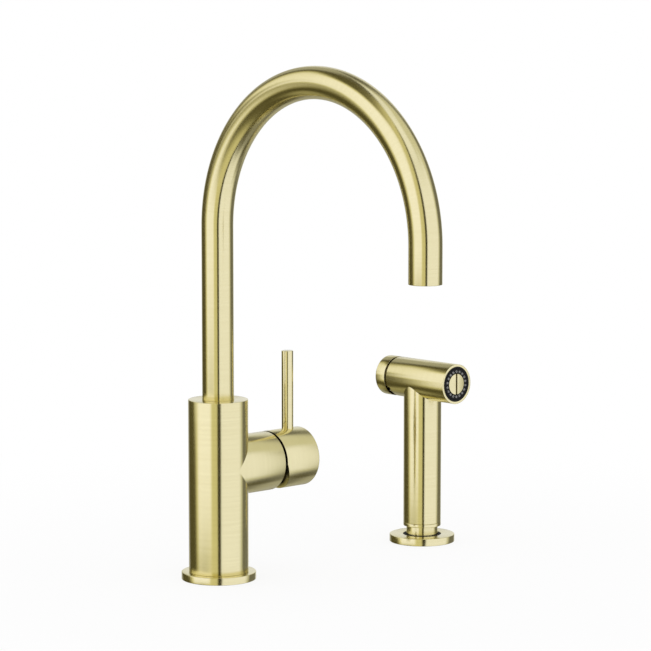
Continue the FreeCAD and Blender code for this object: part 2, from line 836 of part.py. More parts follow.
def check_valve():
    low = check_valve_z
    high = low + check_valve_h
    bore_r = check_valve_r - check_valve_wall
    mouth_z = high - check_valve_nose - cut_over
    return at_spray(lathe([(bore_r, low), (check_valve_r, low),
                           (check_valve_r, high - check_valve_nose), (check_valve_nose_r, high),
                           (check_valve_mouth_r, high), (check_valve_mouth_r, mouth_z),
                           (bore_r, mouth_z - cut_over)]))


# ---- spray handset ----
def grip_end_ring():
    top = grip_shell_z + end_ring_spigot_h
    inner = spigot_r + running_fit
    spigot = grip_bore_r - fixed_fit
    rim = grip_r - end_ring_edge
    seam_r = grip_r - cap_edge
    return at_spray(lathe([(inner, grip_bottom_z), (rim, grip_bottom_z),
                           (grip_r, grip_bottom_z + end_ring_edge),
                           (grip_r, grip_shell_z - cap_edge), (seam_r, grip_shell_z),
                           (spigot, grip_shell_z), (spigot, top), (inner, top)]))


def handset_shell():
    grip = at_spray(rod(grip_r, grip_shell_z, head_z))
    head = lathe([(0, head_front_y), (head_r - fine_edge, head_front_y),
                  (head_r, head_front_y + fine_edge), (head_r, head_rear_y - fine_edge),
                  (head_r - fine_edge, head_rear_y), (0, head_rear_y)])
    lip_y = head_front_y + face_lip
    bore = lathe([(0, head_front_y - cut_over), (face_r, head_front_y - cut_over),
                  (face_r, lip_y), (head_bore_r, lip_y), (head_bore_r, head_rear_y + cut_over),
                  (0, head_rear_y + cut_over)])
    notch = block(spray_x - notch_half_w, spray_x + notch_half_w, head_rear_y - notch_depth,
                  head_rear_y + cut_over, head_z - head_r - cut_over, head_z - notch_top_drop)
    grip_bore = at_spray(rod(grip_bore_r, grip_shell_z - cut_over, head_z))
    return cut_all(grip.fuse(along_y(head, head_z)), [along_y(bore, head_z), grip_bore, notch])


def spray_water_tube():
    low = neck_top_z + edge
    foot_r = grip_bore_r - running_fit
    outer = pipe_bore_r + pipe_wall
    top = head_z - head_bore_r + cut_over
    return at_spray(lathe([(pipe_bore_r, low), (foot_r, low), (foot_r, low + tube_foot_h),
                           (outer, low + tube_foot_h), (outer, top), (pipe_bore_r, top)]))


def valve_body():
    rear = rocker_y + rear_stand
    outer = head_bore_r - running_fit
    neck_out_r = head_bore_r - shoulder_w
    solid = along_y(lathe([(0, boss_y), (boss_r, boss_y), (boss_r, valve_front_y),
                           (outer, valve_front_y), (outer, shoulder_y), (neck_out_r, shoulder_y),
                           (neck_out_r, rear), (0, rear)]), head_z)
    slot_half = tongue_half_w + tongue_clear
    seat_end = valve_seat_y + valve_seat_len
    below = head_z - head_r
    wide_slot_z = valve_z - valve_stem_r - tongue_clear - cap_edge
    holes = [y_rod(shank_r + fixed_fit, boss_y - cut_over, shank_end_y + cut_over, spray_x, head_z),
             y_rod(valve_bore_r, valve_front_y - cut_over, valve_seat_y, spray_x, valve_z),
             y_rod(valve_seat_r, valve_seat_y - cut_over, seat_end, spray_x, valve_z),
             y_rod(valve_bore_r, seat_end, chamber_end_y, spray_x, valve_z),
             y_rod(valve_stem_r + pin_fit, chamber_end_y - cut_over, tongue_slot_y + cut_over,
                   spray_x, valve_z),
             at_spray(rod(pipe_bore_r, below, valve_z)),
             at_spray(rod(pipe_bore_r + pipe_wall + fixed_fit, below, head_z - head_bore_r + cut_over)),
             block(spray_x - slot_half, spray_x + slot_half, tongue_slot_y, rear + cut_over,
                   below, head_z + tongue_slot_rise),
             block(spray_x - head_r, spray_x + head_r, shoulder_y, rear + cut_over,
                   below, wide_slot_z),
             x_rod(pin_r, spray_x - head_r, spray_x + head_r, rocker_y, head_z)]
    return cut_all(solid, holes)


def nozzle_places():
    """Centres (x, z) of the nozzles round the face."""
    places = []
    for index in range(nozzle_count):
        x, z = polar(nozzle_ring_r, nozzle_start_deg + 360.0 * index / nozzle_count)
        places.append((spray_x + x, head_z + z))
    return places


def spray_face():
    hole_r = shank_r + 3 * fixed_fit
    outer = head_bore_r - running_fit
    rim_r = face_r - running_fit
    inner = disc_face_r + running_fit
    back = face_lip_y + face_plate_h
    recess_y = face_lip_y + disc_floor
    groove_in = face_groove_r - face_groove_half_w
    groove_out = face_groove_r + face_groove_half_w
    groove_y = face_front_y + face_groove_depth
    plate = along_y(lathe([(hole_r, back), (outer, back), (outer, face_lip_y),
                           (rim_r, face_lip_y), (rim_r, face_front_y), (groove_out, face_front_y),
                           (groove_out, groove_y), (groove_in, groove_y),
                           (groove_in, face_front_y), (inner, face_front_y), (inner, recess_y),
                           (hole_r, recess_y)]), head_z)
    nubs = [y_rod(nozzle_r, face_front_y - nozzle_h, face_front_y + nozzle_h / 2, x, z)
            for x, z in nozzle_places()]
    return plate.fuse(nubs)


def face_distributor():
    high = distributor_y + distributor_h
    hole_r = shank_r + 3 * fixed_fit
    plate = along_y(ring(hole_r, head_bore_r - 2 * running_fit, distributor_y, high), head_z)
    holes = [y_rod(nozzle_bore_r, distributor_y - cut_over, high + cut_over, x, z)
             for x, z in nozzle_places()]
    return cut_all(plate, holes)


def face_screw():
    front = head_front_y - disc_proud
    seat = face_lip_y + disc_floor - fixed_fit
    screw = along_y(lathe([(0, front), (disc_face_r - cap_edge, front),
                           (disc_face_r, front + cap_edge), (disc_face_r, seat), (shank_r, seat),
                           (shank_r, shank_end_y), (0, shank_end_y)]), head_z)
    slot = block(spray_x - slot_w / 2, spray_x + slot_w / 2, front - cut_over, front + slot_depth,
                 head_z - head_r, head_z + head_r)
    return screw.cut(slot)


def button_pin():
    half = head_bore_r - rocker_pin_inset
    return x_rod(pin_r, spray_x - half, spray_x + half, rocker_y, head_z)


def spring_plug():
    return along_y(ring(plug_bore_r, valve_bore_r - fixed_fit, plug_y, plug_y + plug_len), valve_z)


def valve_spring():
    return along_y(ring(spring_r - spring_wire, spring_r, spring_y, collar_y - layer_gap), valve_z)


# ---- valve stem ----
def valve_stem():
    nose_y = collar_y - valve_stem_nose
    tip_y = heel_y - heel_gap
    stem = along_y(lathe([(0, nose_y), (valve_stem_r, nose_y),
                          (valve_stem_r, tip_y - stem_tip_len),
                          (valve_stem_r * 0.75, tip_y - stem_tip_len / 3),
                          (valve_stem_r * 0.35, tip_y), (0, tip_y)]), valve_z)
    return stem.fuse(along_y(rod(collar_r, collar_y, valve_seal_y), valve_z))


def valve_seal():
    return along_y(ring(valve_stem_r, valve_seal_r, valve_seal_y, valve_seal_y + valve_seal_len),
                   valve_z)


# ---- rocking cap ----
def rear_cap():
    cup = along_y(lathe([(cap_bore_r, cap_front_y), (head_r - cap_edge, cap_front_y),
                         (head_r, cap_front_y + cap_edge), (head_r, cap_end_y - cap_rounding),
                         (head_r - fine_edge, cap_end_y - fine_edge),
                         (head_r - cap_rounding, cap_end_y), (0, cap_end_y), (0, cap_floor_y),
                         (cap_bore_r, cap_floor_y)]), head_z)
    tongue = block(spray_x - tongue_half_w, spray_x + tongue_half_w, heel_y,
                   cap_floor_y + tongue_root, valve_z - tongue_drop, head_z + tongue_rise)
    pin_hole = x_rod(pin_r + pin_fit, spray_x - head_r, spray_x + head_r, rocker_y, head_z)
    return cup.fuse(tongue.cut(pin_hole))


def parts_list():
    return {
        "body_shell": body_shell(),
        "base_ring": base_ring(),
        "deck_seal": deck_seal(),
        "base_insert": base_insert(),
        "hot_inlet_pipe": tail_pipe(hot_angle),
        "cold_inlet_pipe": tail_pipe(cold_angle),
        "spray_feed_pipe": tail_pipe(feed_angle),
        "cartridge_seal": cartridge_seal(),
        "cartridge_base": cartridge_base(),
        "fixed_disc": fixed_disc(),
        "moving_disc": moving_disc(),
        "disc_carrier": disc_carrier(),
        "cartridge_housing": cartridge_housing(),
        "cartridge_rotor": cartridge_rotor(),
        "pivot_pin": pivot_pin(),
        "retaining_nut": retaining_nut(),
        "cartridge_shroud": cartridge_shroud(),
        "lever_stem": lever_stem(),
        "handle_hub": handle_hub(),
        "lever_rod": lever_rod(),
        "handle_set_screw": handle_set_screw(),
        "spout_tube": spout_tube(),
        "spout_adapter": spout_adapter(),
        "spout_o_rings": spout_o_rings(),
        "spout_slip_ring": spout_slip_ring(),
        "spout_set_screw": spout_set_screw(),
        "aerator_housing": aerator_housing(),
        "aerator_insert": aerator_insert(),
        "aerator_seal": aerator_seal(),
        "diverter_body": diverter_body(),
        "diverter_poppet": diverter_poppet(),
        "diverter_spring": diverter_spring(),
        "holder_flange": holder_flange(),
        "holder_seal": holder_seal(),
        "holder_bush": holder_bush(),
        "spray_neck": spray_neck(),
        "neck_o_ring": neck_o_ring(),
        "neck_clip": neck_clip(),
        "check_valve": check_valve(),
        "grip_end_ring": grip_end_ring(),
        "handset_shell": handset_shell(),
        "spray_water_tube": spray_water_tube(),
        "valve_body": valve_body(),
        "spray_face": spray_face(),
        "face_distributor": face_distributor(),
        "face_screw": face_screw(),
        "button_pin": button_pin(),
        "spring_plug": spring_plug(),
        "valve_spring": valve_spring(),
        "valve_stem": valve_stem(),
        "valve_seal": valve_seal(),
        "rear_cap": rear_cap(),
    }


os.makedirs("parts", exist_ok=True)
for name, shape in parts_list().items():
    shape.exportStep("parts/" + name + ".step")
    print(name, "valid" if shape.isValid() else "NOT VALID", len(shape.Solids), round(shape.Volume, 1))
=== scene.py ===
import bpy
import json
import math
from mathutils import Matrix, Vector


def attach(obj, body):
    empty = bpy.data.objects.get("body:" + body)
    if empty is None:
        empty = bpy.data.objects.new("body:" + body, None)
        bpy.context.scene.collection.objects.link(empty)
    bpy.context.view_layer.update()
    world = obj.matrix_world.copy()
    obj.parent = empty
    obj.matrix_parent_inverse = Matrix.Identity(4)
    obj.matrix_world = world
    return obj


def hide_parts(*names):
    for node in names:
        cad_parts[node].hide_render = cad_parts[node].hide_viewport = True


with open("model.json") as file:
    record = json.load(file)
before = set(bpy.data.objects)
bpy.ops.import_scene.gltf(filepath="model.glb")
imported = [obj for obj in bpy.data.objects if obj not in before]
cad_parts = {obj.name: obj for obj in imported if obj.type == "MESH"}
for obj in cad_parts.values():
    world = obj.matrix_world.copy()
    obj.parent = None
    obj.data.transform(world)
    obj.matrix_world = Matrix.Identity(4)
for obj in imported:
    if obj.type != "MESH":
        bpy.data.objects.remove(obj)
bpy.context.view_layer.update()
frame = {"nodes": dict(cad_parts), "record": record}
nodes = frame["nodes"]
mm = 0.001
weld = 0.000001  # points nearer than this, in metres, are made one
sharpFrom = 40  # degrees: edges that turn by more than this are rounded
print("frame loaded:", len(nodes), "nodes")


# ---- tools for the pieces ----
def clearSelection():
    if bpy.context.object and bpy.context.object.mode != "OBJECT":
        bpy.ops.object.mode_set(mode="OBJECT")
    bpy.ops.object.select_all(action="DESELECT")


def pick(piece):
    clearSelection()
    piece.select_set(True)
    bpy.context.view_layer.objects.active = piece


def startEdit(piece):
    pick(piece)
    bpy.ops.object.mode_set(mode="EDIT")


def endEdit():
    bpy.ops.object.mode_set(mode="OBJECT")
    return bpy.context.object


def applyModifier(piece, kind, **values):
    pick(piece)
    modifier = piece.modifiers.new(kind.lower(), kind)
    for key, value in values.items():
        setattr(modifier, key, value)
    bpy.ops.object.modifier_apply(modifier=modifier.name)


# a round piece: a ring of points is drawn along a profile of (radius, height) pairs in mm
def turned(name, profile, sides=128, close=True):
    clearSelection()
    radius, height = profile[0]
    bpy.ops.mesh.primitive_circle_add(vertices=sides, radius=radius * mm, fill_type="NOTHING",
                                      location=(0, 0, height * mm))
    piece = bpy.context.object
    piece.name = name
    bpy.ops.object.transform_apply(location=True, rotation=False, scale=False)
    bpy.ops.object.mode_set(mode="EDIT")
    bpy.ops.mesh.select_all(action="SELECT")
    for before, after in zip(profile, profile[1:]):
        bpy.ops.mesh.extrude_region_move(
            TRANSFORM_OT_translate={"value": (0, 0, (after[1] - before[1]) * mm)})
        if after[0] == 0:
            bpy.ops.mesh.merge(type="CENTER")
        elif after[0] != before[0]:
            grow = after[0] / before[0]
            bpy.ops.transform.resize(value=(grow, grow, 1), center_override=(0, 0, 0))
    bpy.ops.mesh.select_all(action="SELECT")
    if close:
        bpy.ops.mesh.remove_doubles(threshold=weld)
    bpy.ops.mesh.normals_make_consistent(inside=False)
    return endEdit()


# turns a piece made along Z so that it runs along +X or +Y, and sets it down at a point in mm
def setDown(piece, along="Z", at=(0, 0, 0)):
    pick(piece)
    piece.rotation_euler = {"X": (0, math.radians(90), 0), "Y": (math.radians(-90), 0, 0),
                            "Z": (0, 0, 0)}[along]
    piece.location = [value * mm for value in at]
    bpy.ops.object.transform_apply(location=True, rotation=True, scale=False)
    return piece


def roundEdges(piece, width, segments=3):
    applyModifier(piece, "BEVEL", width=width * mm, segments=segments, limit_method="ANGLE",
                  angle_limit=math.radians(sharpFrom))
    return piece


def closeHoles(piece):
    startEdit(piece)
    bpy.ops.mesh.select_all(action="SELECT")
    bpy.ops.mesh.fill_holes(sides=0)
    bpy.ops.mesh.normals_make_consistent(inside=False)
    return endEdit()


# profile points of a rounded outer corner, from the end face to the side
def softCorner(radius, end, size, steps=5):
    turns = [math.radians(90 - 90 * step / steps) for step in range(steps + 1)]
    return [(radius - size + size * math.cos(turn), end - size + size * math.sin(turn))
            for turn in turns]


# painted shade: says how far the brushed colour is darkened on each face that lies in a gap or a
# bore, where shade falls
def paintGapShade(piece, shade):
    layer = piece.data.attributes.new(name="paintedGapShade", type="FLOAT", domain="FACE")
    for polygon in piece.data.polygons:
        layer.data[polygon.index].value = float(shade(polygon.center / mm))
    return piece


def smooth(piece, angle=30):
    pick(piece)
    bpy.ops.object.shade_smooth_by_angle(angle=math.radians(angle))
    return piece


mapShare = 0.02  # metres of the map's u for each radian round a piece
axisReach = 0.00001  # metres: a point nearer to the axis than this has no angle of its own


# the map that the brushing follows: u runs round the piece, v along it, both in metres
def wrapRound(piece, around):
    mesh = piece.data
    layer = mesh.uv_layers.new(name="brushMap")
    for polygon in mesh.polygons:
        places = [around(mesh.vertices[mesh.loops[i].vertex_index].co)
                  for i in polygon.loop_indices]
        top = max((angle for angle, reach, run in places if reach > axisReach), default=0)
        places = [(angle + 2 * math.pi if top - angle > math.pi else angle, reach, run)
                  for angle, reach, run in places]
        own = [angle for angle, reach, run in places if reach > axisReach]
        middle = sum(own) / len(own) if own else 0
        for i, (angle, reach, run) in zip(polygon.loop_indices, places):
            u = (angle if reach > axisReach else middle) * mapShare
            layer.data[i].uv = (u, run + reach)
    return piece


# tells of a point its angle round an axis, its distance from it and its place along it
def aroundAxis(along="Z", at=(0, 0, 0)):
    centre = Vector([value * mm for value in at])

    def place(point):
        x, y, z = point - centre
        if along == "X":
            return math.atan2(z, -y), math.hypot(y, z), x
        if along == "Y":
            return math.atan2(z, x), math.hypot(x, z), y
        return math.atan2(y, x), math.hypot(x, y), z
    return place


# soft shading, and the brushing's map round an axis
def dressRound(piece, along="Z", at=(0, 0, 0), angle=30):
    return wrapRound(smooth(piece, angle), aroundAxis(along, at))


def finishPiece(piece, material, body, slotName, *replaced):
    piece.data.materials.clear()
    piece.data.materials.append(material)
    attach(piece, body)
    if replaced:
        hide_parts(*replaced)
    return piece


def joinPieces(pieces, name):
    clearSelection()
    for piece in pieces:
        piece.select_set(True)
    bpy.context.view_layer.objects.active = pieces[0]
    bpy.ops.object.join()
    joined = bpy.context.object
    joined.name = name
    return joined


# ---- materials ----
def newMaterial(name):
    material = bpy.data.materials.new(name)
    material.use_nodes = True
    tree = material.node_tree
    shader = tree.nodes["Principled BSDF"]
    return material, tree, shader


def addNode(tree, kind, **values):
    node = tree.nodes.new(kind)
    for key, value in values.items():
        setattr(node, key, value)
    return node


def calculate(tree, operation, first, second=None):
    step = addNode(tree, "ShaderNodeMath", operation=operation)
    for socket, value in zip(step.inputs, (first, second)):
        if isinstance(value, (int, float)):
            socket.default_value = value
        elif value is not None:
            tree.links.new(value, socket)
    return step.outputs[0]


# a tone, a roughness and a fine relief that all follow one pattern; gives back the tone
def followPattern(tree, shader, pattern, values, spread):
    link = tree.links.new
    tone = addNode(tree, "ShaderNodeValToRGB")
    for stop, place, colour in zip(tone.color_ramp.elements, (0.5 - spread, 0.5 + spread),
                                   (values["shade"], values["colour"])):
        stop.position = place
        stop.color = (*colour, 1)
    link(pattern, tone.inputs["Fac"])
    rough = addNode(tree, "ShaderNodeMapRange")
    rough.inputs["To Min"].default_value = values["roughness"][0]
    rough.inputs["To Max"].default_value = values["roughness"][1]
    link(pattern, rough.inputs["Value"])
    link(rough.outputs["Result"], shader.inputs["Roughness"])
    bump = addNode(tree, "ShaderNodeBump")
    bump.inputs["Strength"].default_value = values["strength"]
    bump.inputs["Distance"].default_value = values["depth"]
    link(pattern, bump.inputs["Height"])
    link(bump.outputs["Normal"], shader.inputs["Normal"])
    return tone.outputs["Color"]


# the colour of the painted shade that the brushed colour fades to in gaps and bores
brushing = {"quarterTurn": 0.25, "lineHarshness": 0.7, "toneSpread": 0.2,
            "paintedShadeColour": (0.04, 0.03, 0.01, 1)}
moulding = {"grainDetail": 4, "toneSpread": 0.15}


# brushed metal: fine lines run round the piece, so the blur runs across them, along the piece
def brushedMetal(name, values, ownMap=True):
    material, tree, shader = newMaterial(name)
    link = tree.links.new
    shader.inputs["Metallic"].default_value = 1
    stretch = addNode(tree, "ShaderNodeMapping")
    stretch.inputs["Scale"].default_value = values["lineStretch"]
    if ownMap:
        shader.inputs["Anisotropic"].default_value = values["anisotropy"]
        shader.inputs["Anisotropic Rotation"].default_value = brushing["quarterTurn"]
        tangent = addNode(tree, "ShaderNodeTangent", direction_type="UV_MAP", uv_map="brushMap")
        link(tangent.outputs["Tangent"], shader.inputs["Tangent"])
        ownPlace = addNode(tree, "ShaderNodeUVMap", uv_map="brushMap")
        parts = addNode(tree, "ShaderNodeSeparateXYZ")
        link(ownPlace.outputs["UV"], parts.inputs[0])
        angle = calculate(tree, "DIVIDE", parts.outputs["X"], mapShare)
        ring = addNode(tree, "ShaderNodeCombineXYZ")
        link(calculate(tree, "COSINE", angle), ring.inputs["X"])
        link(calculate(tree, "SINE", angle), ring.inputs["Y"])
        link(parts.outputs["Y"], ring.inputs["Z"])
        link(ring.outputs[0], stretch.inputs["Vector"])
    else:
        place = addNode(tree, "ShaderNodeTexCoord")
        link(place.outputs["Object"], stretch.inputs["Vector"])
    lines = addNode(tree, "ShaderNodeTexNoise")
    lines.inputs["Scale"].default_value = 1
    lines.inputs["Detail"].default_value = values["lineDetail"]
    lines.inputs["Roughness"].default_value = brushing["lineHarshness"]
    link(stretch.outputs["Vector"], lines.inputs["Vector"])
    # painted shade: the brushed colour is darkened on faces marked as lying in a gap or a bore
    inner = addNode(tree, "ShaderNodeAttribute", attribute_type="GEOMETRY",
                    attribute_name="paintedGapShade")
    darken = addNode(tree, "ShaderNodeMix", data_type="RGBA")
    link(inner.outputs["Fac"], darken.inputs["Factor"])
    tone = followPattern(tree, shader, lines.outputs["Fac"], values, brushing["toneSpread"])
    link(tone, darken.inputs[6])
    darken.inputs[7].default_value = brushing["paintedShadeColour"]
    link(darken.outputs[2], shader.inputs["Base Color"])
    return material


# plastics, rubber and ceramic: a moulded grain with slight change of tone
def mouldedFinish(name, values):
    material, tree, shader = newMaterial(name)
    link = tree.links.new
    shader.inputs["Specular IOR Level"].default_value = values["gloss"]
    place = addNode(tree, "ShaderNodeTexCoord")
    grain = addNode(tree, "ShaderNodeTexNoise")
    grain.inputs["Scale"].default_value = values["grainScale"]
    grain.inputs["Detail"].default_value = moulding["grainDetail"]
    link(place.outputs["Object"], grain.inputs["Vector"])
    tone = followPattern(tree, shader, grain.outputs["Fac"], values, moulding["toneSpread"])
    link(tone, shader.inputs["Base Color"])
    return material


brassValues = {"colour": (0.865, 0.795, 0.45), "shade": (0.815, 0.74, 0.40), "anisotropy": 0.8,
               "roughness": (0.18, 0.22), "lineStretch": (0.4, 0.4, 1300), "lineDetail": 3,
               "strength": 0.03, "depth": 0.00002}
leverValues = {"colour": (0.85, 0.78, 0.45), "shade": (0.82, 0.745, 0.42), "anisotropy": 0.6,
               "roughness": (0.12, 0.135), "lineStretch": (0.3, 0.3, 400), "lineDetail": 2,
               "strength": 0.003, "depth": 0.00001}
innerBrassValues = {"colour": (0.78, 0.66, 0.36), "shade": (0.68, 0.55, 0.27),
                    "roughness": (0.28, 0.40), "lineStretch": (300, 300, 2600), "lineDetail": 3,
                    "strength": 0.2, "depth": 0.00003}
copperValues = {"colour": (0.72, 0.36, 0.22), "shade": (0.58, 0.27, 0.16),
                "roughness": (0.28, 0.40), "lineStretch": (900, 900, 60), "lineDetail": 3,
                "strength": 0.15, "depth": 0.00002}
steelValues = {"colour": (0.56, 0.56, 0.55), "shade": (0.44, 0.44, 0.44),
               "roughness": (0.26, 0.36), "lineStretch": (400, 400, 2400), "lineDetail": 3,
               "strength": 0.2, "depth": 0.00002}
rubberValues = {"colour": (0.012, 0.012, 0.012), "shade": (0.007, 0.007, 0.007), "gloss": 0.2,
                "roughness": (0.55, 0.68), "grainScale": 900, "strength": 0.2,
                "depth": 0.00005}
nozzleValues = {"colour": (0.30, 0.30, 0.29), "shade": (0.22, 0.22, 0.21), "gloss": 0.4,
                "roughness": (0.40, 0.50), "grainScale": 900, "strength": 0.1,
                "depth": 0.00003}
darkPlasticValues = {"colour": (0.012, 0.012, 0.013), "shade": (0.008, 0.008, 0.009), "gloss": 0.06,
                     "roughness": (0.50, 0.62), "grainScale": 1400, "strength": 0.15,
                     "depth": 0.00003}
whitePlasticValues = {"colour": (0.78, 0.78, 0.76), "shade": (0.72, 0.72, 0.70), "gloss": 0.5,
                      "roughness": (0.32, 0.42), "grainScale": 700, "strength": 0.1,
                      "depth": 0.00003}
ceramicValues = {"colour": (0.86, 0.84, 0.79), "shade": (0.82, 0.80, 0.75), "gloss": 0.5,
                 "roughness": (0.10, 0.16), "grainScale": 1500, "strength": 0.05,
                 "depth": 0.00001}

brushedBrass = brushedMetal("brushedBrass", brassValues)
leverBrass = brushedMetal("leverBrass", leverValues)
innerBrass = brushedMetal("innerBrass", innerBrassValues, ownMap=False)
copper = brushedMetal("drawnCopper", copperValues, ownMap=False)
steel = brushedMetal("satinSteel", steelValues, ownMap=False)
rubber = mouldedFinish("blackRubber", rubberValues)
nozzleRubber = mouldedFinish("nozzleRubber", nozzleValues)
darkPlastic = mouldedFinish("darkPlastic", darkPlasticValues)
whitePlastic = mouldedFinish("whitePlastic", whitePlasticValues)
ceramic = mouldedFinish("ceramicDisc", ceramicValues)
slotFinish = {"brushed_brass": innerBrass, "raw_brass": innerBrass, "copper_pipe": copper,
              "black_rubber": rubber, "black_plastic": darkPlastic, "white_plastic": whitePlastic,
              "ceramic_disc": ceramic, "steel": steel}
print("materials made")


# every carried-over node takes the finish of its slot in the record
def dressNodes():
    slotOf = {entry["node"]: entry["material_slot"] for entry in frame["record"]["subparts"]}
    for name, node in nodes.items():
        node.data.materials.clear()
        node.data.materials.append(slotFinish[slotOf[name]])


dressNodes()
print("nodes dressed")


# ---- faucet body ----
columnValues = {"radius": 24, "foot": 6, "top": 145.5, "seatRadius": 12.8, "seatDepth": 6.3,
                "boreRadius": 20, "boreTop": 12, "centre": 0.4, "edge": 0.35}


def makeColumn():
    v = columnValues
    seat = v["top"] - v["seatDepth"]
    profile = [(v["centre"], v["boreTop"]), (v["boreRadius"], v["boreTop"]),
               (v["boreRadius"], v["foot"]), (v["radius"], v["foot"]), (v["radius"], v["top"]),
               (v["seatRadius"], v["top"]), (v["seatRadius"], seat), (0, seat)]
    column = closeHoles(turned("bodyColumn", profile, close=False))
    return dressRound(roundEdges(column, v["edge"]))


branchValues = {"radius": 23.95, "start": 0.5, "mouth": 51.3, "boreRadius": 20.05, "boreDepth": 9,
                "height": 90, "edge": 0.25, "darkMouth": 51.28, "darkStart": 1.5,
                "darkRadius": 22.95}


def makeBranch():
    v = branchValues
    profile = [(v["radius"], v["start"]), (v["radius"], v["mouth"]), (v["boreRadius"], v["mouth"]),
               (v["boreRadius"], v["mouth"] - v["boreDepth"])]
    branch = closeHoles(turned("bodyBranch", profile, close=False))
    at = (0, 0, v["height"])
    setDown(roundEdges(branch, v["edge"]), "X", at)

    # painted shade on the mouth's end face and in the bore, which lie in the gap to the handle
    def inPaintedShade(point):
        reach = math.hypot(point.y, point.z - v["height"])
        return point.x > v["darkMouth"] or (point.x > v["darkStart"] and reach < v["darkRadius"])
    return dressRound(paintGapShade(branch, inPaintedShade), "X", at)


bodyShell = joinPieces([makeColumn(), makeBranch()], "bodyShell")
finishPiece(bodyShell, brushedBrass, "deck_unit", "brushed_brass", "body_shell")

baseRingValues = {"radius": 30, "height": 6, "bore": 20.1, "grooveIn": 25.5, "grooveOut": 28.5,
                  "grooveDepth": 1.5, "edge": 0.4}
flangeValues = {"radius": 27.75, "height": 6.2, "bore": 16.2, "grooveIn": 23.25,
                "grooveOut": 26.25, "grooveDepth": 1.5, "edge": 0.4}
sprayX = 230  # mm from the faucet's axis to that of the side spray
sprayAt = (sprayX, 0, 0)


def makeDeckRing(name, v, at):
    profile = [(v["bore"], 0), (v["grooveIn"], 0), (v["grooveIn"], v["grooveDepth"]),
               (v["grooveOut"], v["grooveDepth"]), (v["grooveOut"], 0), (v["radius"], 0),
               (v["radius"], v["height"]), (v["bore"], v["height"]), (v["bore"], 0)]
    deckRing = roundEdges(turned(name, profile), v["edge"])
    return dressRound(setDown(deckRing, "Z", at), "Z", at)


baseRing = makeDeckRing("baseRing", baseRingValues, (0, 0, 0))
finishPiece(baseRing, brushedBrass, "deck_unit", "brushed_brass", "base_ring")
holderFlange = makeDeckRing("holderFlange", flangeValues, sprayAt)
finishPiece(holderFlange, brushedBrass, "deck_unit", "brushed_brass", "holder_flange")

bushValues = {"outer": 16.18, "inner": 13.4, "height": 6.2, "floor": 2, "mouth": 10, "edge": 0.35}


def makeBush():
    v = bushValues
    profile = [(v["mouth"], 0), (v["outer"], 0), (v["outer"], v["height"]),
               (v["inner"], v["height"]), (v["inner"], v["floor"]), (v["mouth"], v["floor"]),
               (v["mouth"], 0)]
    bush = roundEdges(turned("holderBush", profile), v["edge"])
    return smooth(setDown(bush, "Z", sprayAt))


finishPiece(makeBush(), darkPlastic, "deck_unit", "black_plastic", "holder_bush")
print("body and deck rings made")


# ---- mixer handle ----
hubValues = {"radius": 24, "start": 53.3, "end": 88.5, "inner": 20.8, "floor": 70,
             "centre": 0.4, "reliefDeg": 20.5, "height": 90, "rounding": 0.8, "edge": 0.2,
             "darkFront": 53.55, "darkRadius": 20.9, "darkEnd": 87.5}


def makeHub():
    v = hubValues
    profile = [(v["centre"], v["end"])] + softCorner(v["radius"], v["end"], v["rounding"])
    profile += [(v["radius"], v["start"]), (v["inner"], v["start"]), (v["inner"], v["floor"]),
                (v["centre"], v["floor"])]
    hub = closeHoles(turned("handleHub", profile, close=False))
    at = (0, 0, v["height"])
    setDown(hub, "X", at)
    lean = math.radians(v["reliefDeg"])
    startEdit(hub)
    bpy.ops.mesh.select_all(action="SELECT")
    bpy.ops.mesh.bisect(plane_co=(v["start"] * mm, 0, v["height"] * mm),
                        plane_no=(math.cos(lean), 0, math.sin(lean)), use_fill=False,
                        clear_inner=True, threshold=weld)
    bpy.ops.mesh.select_all(action="DESELECT")
    bpy.ops.mesh.select_non_manifold()
    bpy.ops.mesh.fill(use_beauty=True)
    bpy.ops.mesh.select_all(action="SELECT")
    bpy.ops.mesh.normals_make_consistent(inside=False)
    endEdit()
    roundEdges(hub, v["edge"])

    # painted shade on the front face and inside the cup, in the gap to the body
    def inPaintedShade(point):
        reach = math.hypot(point.y, point.z - v["height"])
        return point.x < v["darkFront"] or (reach < v["darkRadius"] and point.x < v["darkEnd"])
    return dressRound(paintGapShade(hub, inPaintedShade), "X", at)


finishPiece(makeHub(), brushedBrass, "mixer_handle", "brushed_brass", "handle_hub")

rodValues = {"radius": 4.75, "foot": 112.8, "top": 178, "x": 74.7, "centre": 0.3, "edge": 0.35}


def makeLever():
    v = rodValues
    profile = [(v["centre"], v["foot"]), (v["radius"], v["foot"]), (v["radius"], v["top"]),
               (v["centre"], v["top"])]
    lever = closeHoles(turned("leverRod", profile, sides=64, close=False))
    at = (v["x"], 0, 0)
    return dressRound(setDown(roundEdges(lever, v["edge"]), "Z", at), "Z", at)


finishPiece(makeLever(), leverBrass, "mixer_handle", "brushed_brass", "lever_rod")
print("handle made")


# ---- spout ----
spoutValues = {"radius": 12.7, "wall": 1.5, "foot": 140.5, "archRadius": 117, "archHeight": 284.5,
               "outlet": 256.5, "recess": 14, "sides": 96, "archSteps": 120, "rounding": 0.3}


